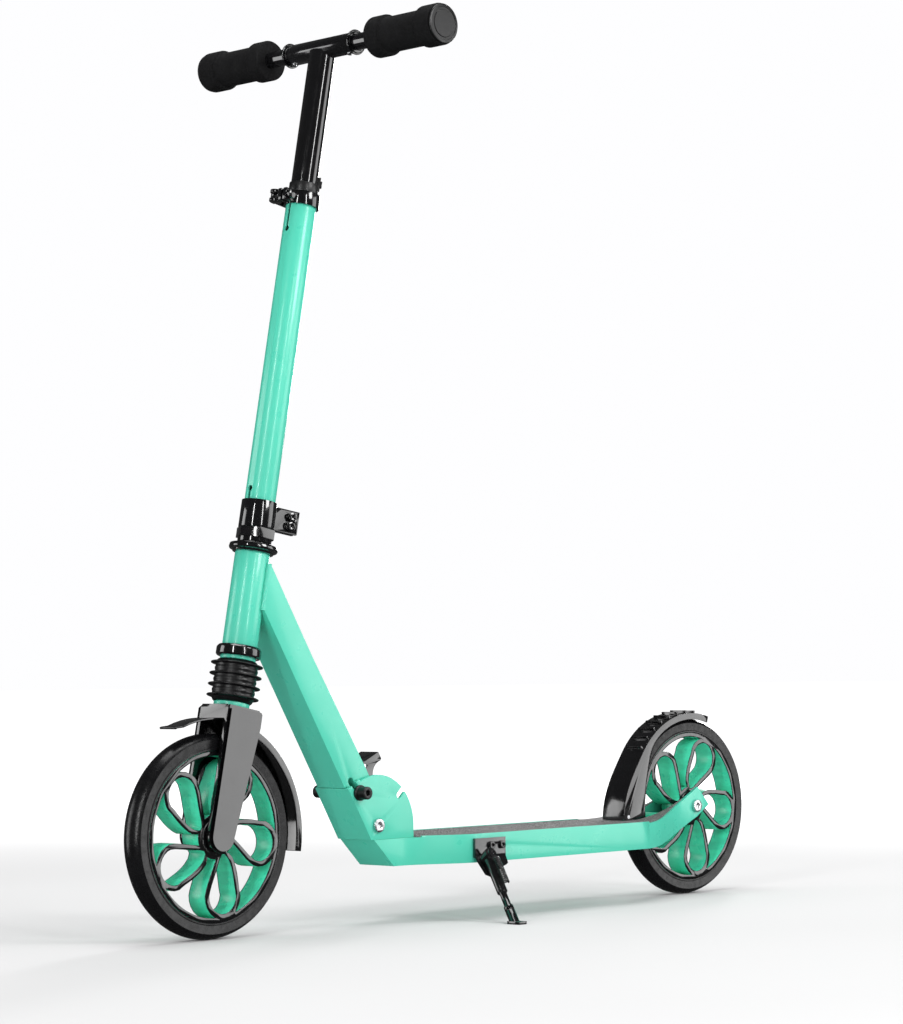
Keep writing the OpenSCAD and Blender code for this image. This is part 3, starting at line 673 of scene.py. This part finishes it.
def coil_tree(finish):
    """A round wire wound into a coil along Z."""
    tree = Tree("coil", [("Radius", "NodeSocketFloat"), ("Wire", "NodeSocketFloat"),
                         ("Height", "NodeSocketFloat"), ("Turns", "NodeSocketFloat")])
    given = tree.given.outputs
    spiral = tree.add("GeometryNodeCurveSpiral", {
        "Resolution": 28, "Rotations": given["Turns"], "Start Radius": given["Radius"],
        "End Radius": given["Radius"], "Height": given["Height"],
    })
    section = tree.add("GeometryNodeCurvePrimitiveCircle", {"Resolution": 10, "Radius": given["Wire"]})
    wire = tree.add("GeometryNodeCurveToMesh", {
        "Curve": spiral.outputs[0], "Profile Curve": section.outputs[0], "Fill Caps": True,
    })
    tree.end(wire.outputs[0], finish)
    return tree


def grit_tree(finish):
    """Small sharp grains scattered over the faces that look up."""
    tree = Tree("grit", [("Density", "NodeSocketFloat"), ("Grain", "NodeSocketFloat")])
    given = tree.given.outputs
    points = tree.add("GeometryNodeDistributePointsOnFaces", {
        "Mesh": given["Geometry"], "Density": given["Density"], "Seed": 7,
    })
    grain = tree.add("GeometryNodeMeshIcoSphere", {"Radius": given["Grain"], "Subdivisions": 1})
    size = tree.add("FunctionNodeRandomValue", {2: 0.35, 3: 0.8, "Seed": 3})
    round_once = (6.28, 6.28, 6.28)
    turn = tree.add("FunctionNodeRandomValue", {"Max": round_once, "Seed": 5}, data_type="FLOAT_VECTOR")
    placed = tree.add("GeometryNodeInstanceOnPoints", {
        "Points": points.outputs[0], "Instance": grain.outputs[0],
        "Rotation": turn.outputs[0], "Scale": size.outputs[1],
    })
    tree.end(placed.outputs[0], finish)
    return tree


def coil(tree, name, place, radius, wire, height, turns):
    """Winds one coil and puts its place into its mesh."""
    mesh = bpy.data.meshes.new(name)
    piece = bpy.data.objects.new(name, mesh)
    bpy.context.scene.collection.objects.link(piece)
    tree.run(piece, {"Radius": radius, "Wire": wire, "Height": height, "Turns": float(turns)})
    piece.data.transform(place)
    return piece


class SCOOTER_OT_springs(bpy.types.Operator):
    """Winds the suspension, brake and kickstand springs"""

    bl_idname = "scooter.springs"
    bl_label = "Springs"

    main_base = 0.2565
    brake_gap = 0.001
    leg_gap = 0.0101
    leg_start = 0.009

    def execute(self, context):
        tree = coil_tree(FINISHES["spring_steel"])
        place = steering_place(self.main_base)
        height = 0.042
        main = coil(tree, "suspension_coil", place, radius=0.0085, wire=0.0015, height=height, turns=6.5)
        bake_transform(main)
        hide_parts("suspension_spring")
        low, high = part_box("fender_spring")
        place = outward(1, middle("fender_spring"), low.y + self.brake_gap)
        height = high.y - low.y - 2 * self.brake_gap
        brake = coil(tree, "fender_coil", place, radius=0.0035, wire=0.0009, height=height, turns=7)
        stands_for(brake, "fender_spring")
        self.kickstand(coil_tree(FINISHES["black_paint"]), context.scene.scooter_sizes.wire_turns)
        return {"FINISHED"}

    def kickstand(self, tree, turns):
        """Runs beside the leg, from near the pivot towards the foot."""
        swing = JOINTS["kickstand_swing"]
        pivot = Vector(swing["pos_m"])
        axis = Vector(swing["axis"]).normalized()
        foot = middle("kickstand_foot")
        along = (foot - pivot) - axis * (foot - pivot).dot(axis)
        place = Matrix.Translation(axis * self.leg_gap) @ turned_frame(pivot, along, axis)
        place = place @ Matrix.Translation((0, 0, self.leg_start))
        spring = coil(tree, "kickstand_coil", place, radius=0.0029, wire=0.0009, height=0.032, turns=turns)
        stands_for(spring, "kickstand_spring")


class SCOOTER_OT_tape(bpy.types.Operator):
    """Grip tape on the deck and up its arms, with grains that stand out of it"""

    bl_idname = "scooter.tape"
    bl_label = "Grip tape"

    stations = 32
    margin = 0.003

    def execute(self, context):
        sizes = context.scene.scooter_sizes
        tape = rounded("grip_tape", 0.0003, FINISHES["grip_tape"], 1)
        top = bmesh.new()
        top.from_mesh(tape.data)
        low_faces = [face for face in top.faces if face.normal.z < 0.9]
        bmesh.ops.delete(top, geom=low_faces, context="FACES")
        area = sum(face.calc_area() for face in top.faces)
        grains = new_piece("tape_grains", top, FINISHES["grip_tape"])
        tree = grit_tree(FINISHES["grip_tape"])
        tree.run(grains, {"Density": sizes.grains / area, "Grain": sizes.grain})
        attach(grains, "deck")
        self.arms()
        return {"FINISHED"}

    def arms(self):
        """Strips of tape that climb the two arms beside the rear wheel."""
        tape_low, tape_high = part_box("grip_tape")
        start = tape_low.x
        base = tape_low.z
        thick = tape_high.z - tape_low.z
        bm = bmesh.new()
        for sign in (1, -1):
            strip = []
            for i in range(self.stations + 1):
                x = start - (start - ARM_END) * i / self.stations
                rise = ARM_RADIUS - math.sqrt(ARM_RADIUS ** 2 - min(0, x - ARM_START) ** 2)
                inner = SLOT_HALF if x < SLOT_FRONT else 0
                outer = arm_half(x) - self.margin
                corners = [(inner, 0), (outer, 0), (outer, thick), (inner, thick)]
                strip.append([bm.verts.new((x, sign * y, base + rise + z)) for y, z in corners])
            sweep(bm, strip)
        bmesh.ops.recalc_face_normals(bm, faces=bm.faces)
        strips = new_piece("tape_arms", bm, FINISHES["grip_tape"])
        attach(strips, "deck")


def arm_half(x):
    """Half width of the deck where it narrows to the rear axle's plates."""
    share = max(0, min(1, (x - TAPER_END) / (TAPER_START - TAPER_END)))
    low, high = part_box("deck")
    wide = (high.y - low.y) / 2
    return PLATE_OUT + (wide - PLATE_OUT) * share * share * (3 - 2 * share)


class SCOOTER_OT_welds(bpy.types.Operator):
    """Weld beads where the down tube meets the head tube"""

    bl_idname = "scooter.welds"
    bl_label = "Welds"

    stations = 40
    sides = 12
    ripple = 0.06

    def execute(self, context):
        steering = steering_place()
        fold = JOINTS["fold"]
        up = Vector(JOINTS["lock_slide"]["axis"]).normalized()
        across_tube = Vector((up.z, 0, -up.x))
        ends = []
        for offset in (TUBE_REAR, TUBE_FRONT):
            start = steering.inverted() @ (Vector(fold["pos_m"]) + across_tube * offset)
            turn = steering.to_3x3().inverted() @ up
            ends.append(start + turn * ((WELD_BACK - start.x) / turn.x))
        low, high = sorted((ends[0].z, ends[1].z))
        bm = bmesh.new()
        for sign in (1, -1):
            rings = []
            for i in range(self.stations + 1):
                z = low + (high - low) * i / self.stations
                fat = WELD_RADIUS * (1 + self.ripple * math.sin(i * 2.4))
                centre = Vector((WELD_BACK, sign * WELD_SIDE, z))
                ring = [centre + Vector((fat * math.cos(a), fat * math.sin(a), 0))
                        for a in [2 * math.pi * j / self.sides for j in range(self.sides)]]
                rings.append([bm.verts.new(point) for point in ring])
            sweep(bm, rings)
        bm.transform(steering)
        bmesh.ops.recalc_face_normals(bm, faces=bm.faces)
        beads = new_piece("weld_beads", bm, FINISHES["mint_paint"], 60)
        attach(beads, "neck")
        return {"FINISHED"}


class SCOOTER_OT_fork(bpy.types.Operator):
    """Flat panels that stand off the outside of both fork legs"""

    bl_idname = "scooter.fork"
    bl_label = "Fork legs"

    top = 0.1265
    waist = 0.112
    half = 0.0203
    shoulder = 0.0185
    foot_radius = 0.0138
    lift = 0.0038

    def execute(self, context):
        place = steering_place()
        axle = place.inverted() @ middle("front_axle")
        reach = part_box("fork")[1].y + self.lift
        side = [(self.half, self.waist), (self.half, self.top - 0.002), (self.shoulder, self.top)]
        outline = side + [(-x, z) for x, z in reversed(side)]
        outline += arc_points((axle.x, 0), self.foot_radius, 176, 364, 19)
        bm = bmesh.new()
        for sign in (1, -1):
            bm.faces.new([bm.verts.new((x, sign * reach, z)) for x, z in outline[::-sign]])
        bm.transform(place)
        panels = new_piece("fork_leg_domes", bm, FINISHES["black_paint"], 50)
        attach(panels, "fork")
        return {"FINISHED"}


# ---- studio ----

HEART = (0, 0, 0.45)
LAMPS = (
    ("key", (-0.8, 3.3, 2.1), (1.2, 1.2), 60),
    ("left panel", (-2.35, 2.35, 0.6), (1.9, 2.0), 32),
    ("front panel", (2.4, -2.3, 0.6), (1.3, 2.0), 26),
    ("front strip", (3.2, 1.0, 1.2), (0.16, 2.4), 34),
    ("side strip", (1.0, 3.3, 1.2), (0.16, 2.4), 30),
    ("back strip", (-2.8, -1.6, 1.6), (0.4, 2.2), 50),
    ("top", (0, 0, 3.2), (1.8, 1.8), 44),
)


def softbox(name, place, size, power):
    """A rectangular lamp that looks at the middle of the scooter."""
    lamp = bpy.data.lights.new(name, "AREA")
    lamp.shape = "RECTANGLE"
    lamp.size, lamp.size_y = size
    lamp.energy = power
    holder = bpy.data.objects.new(name, lamp)
    holder.location = place
    holder.rotation_euler = (Vector(HEART) - Vector(place)).to_track_quat("-Z", "Y").to_euler()
    bpy.context.scene.collection.objects.link(holder)


class SCOOTER_OT_stage(bpy.types.Operator):
    """Pale floor, soft lamps and the camera"""

    bl_idname = "scooter.stage"
    bl_label = "Studio"

    azimuth = 134.10
    elevation = -2.83
    distance = 3.2159
    target = (0.0072, -0.0056, 0.4262)
    roll = -0.64
    lens = 106.27
    ambient = 0.55
    reflected = 0.05

    def execute(self, context):
        self.floor()
        self.lamps(context.scene)
        self.camera(context.scene)
        return {"FINISHED"}

    def floor(self):
        bm = bmesh.new()
        bmesh.ops.create_circle(bm, cap_ends=True, radius=30, segments=96)
        graph = Graph("studio floor")
        tone = graph.clamp(graph.noise(0.8, 2), 0, 1)
        colour = graph.blend(tone, (0.60, 0.60, 0.60, 1), (0.62, 0.62, 0.62, 1))
        # the floor glows more the farther it lies from the scooter, up to 0.75: a painted glow that whitens
        # the far floor into the backdrop
        away = graph.add("ShaderNodeVectorMath", {"operation": "LENGTH"}, {0: graph.place()}, "Value")
        reach = {"Value": away, "From Min": 0.8, "From Max": 3.0, "To Min": 0.0, "To Max": 0.75}
        far_glow = graph.add("ShaderNodeMapRange", {"interpolation_type": "SMOOTHSTEP"}, reach)
        glow = graph.blend(far_glow, (0, 0, 0, 1), (1, 1, 1, 1))
        dull = {"Roughness": 0.9, "Specular IOR Level": 0.0, "Emission Strength": 1.0}
        floor = new_piece("floor", bm, graph.finish(dull, colour=colour, glow=glow))
        floor.visible_glossy = False

    def lamps(self, scene):
        world = bpy.data.worlds.new("studio")
        world.use_nodes = True
        sky = world.node_tree.nodes["Background"].inputs
        sky["Color"].default_value = (0.99, 0.99, 1.0, 1)
        ray = world.node_tree.nodes.new("ShaderNodeLightPath")
        seen = self.level(world, ray.outputs["Is Camera Ray"], self.ambient, 1.0)
        mirrored = self.level(world, ray.outputs["Is Glossy Ray"], 0.0, self.ambient - self.reflected)
        total = world.node_tree.nodes.new("ShaderNodeMath")
        total.operation = "SUBTRACT"
        world.node_tree.links.new(seen, total.inputs[0])
        world.node_tree.links.new(mirrored, total.inputs[1])
        world.node_tree.links.new(total.outputs[0], sky["Strength"])
        scene.world = world
        for name, place, size, power in LAMPS:
            softbox(name, place, size, power)
        scene.view_settings.view_transform = "Standard"

    @staticmethod
    def level(world, ray, off, on):
        """A strength that depends on the kind of ray."""
        level = world.node_tree.nodes.new("ShaderNodeMapRange")
        level.inputs["To Min"].default_value = off
        level.inputs["To Max"].default_value = on
        world.node_tree.links.new(ray, level.inputs["Value"])
        return level.outputs[0]

    def camera(self, scene):
        a, e, turn = (math.radians(v) for v in (self.azimuth, self.elevation, self.roll))
        back = Vector((math.sin(a) * math.cos(e), -math.cos(a) * math.cos(e), math.sin(e)))
        right = Vector((0, 0, 1)).cross(back).normalized()
        up = back.cross(right)
        tilted = right * math.cos(turn) + up * math.sin(turn)
        place = Matrix((tilted, back.cross(tilted), back)).transposed().to_4x4()
        place.translation = Vector(self.target) + back * self.distance
        data = bpy.data.cameras.new("camera")
        data.sensor_width = 36
        data.lens = self.lens
        camera = bpy.data.objects.new("camera", data)
        camera.matrix_world = place
        scene.collection.objects.link(camera)
        scene.camera = camera


class SCOOTER_PT_panel(bpy.types.Panel):
    """Lists the scooter's steps"""

    bl_idname = "SCOOTER_PT_panel"
    bl_label = "Kick scooter"
    bl_space_type = "VIEW_3D"
    bl_region_type = "UI"
    bl_category = "Scooter"

    def draw(self, context):
        column = self.layout.column()
        for step in STEPS:
            column.operator(step.bl_idname)
        for name in ScooterLook.__annotations__:
            column.prop(context.scene.scooter_look, name)
        for name in ScooterSizes.__annotations__:
            column.prop(context.scene.scooter_sizes, name)


STEPS = (
    SCOOTER_OT_finishes, SCOOTER_OT_metalwork, SCOOTER_OT_tyres, SCOOTER_OT_boot, SCOOTER_OT_grips,
    SCOOTER_OT_springs, SCOOTER_OT_tape, SCOOTER_OT_welds, SCOOTER_OT_fork, SCOOTER_OT_stage,
)
CLASSES = (ScooterLook, ScooterSizes, *STEPS, SCOOTER_PT_panel)


def register():
    for cls in CLASSES:
        bpy.utils.register_class(cls)
    bpy.types.Scene.scooter_look = PointerProperty(type=ScooterLook)
    bpy.types.Scene.scooter_sizes = PointerProperty(type=ScooterSizes)


def unregister():
    del bpy.types.Scene.scooter_sizes
    del bpy.types.Scene.scooter_look
    for cls in reversed(CLASSES):
        bpy.utils.unregister_class(cls)


def main():
    register()
    for step in STEPS:
        group, name = step.bl_idname.split(".")
        getattr(getattr(bpy.ops, group), name)()
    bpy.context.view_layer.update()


if __name__ == "__main__":
    main()
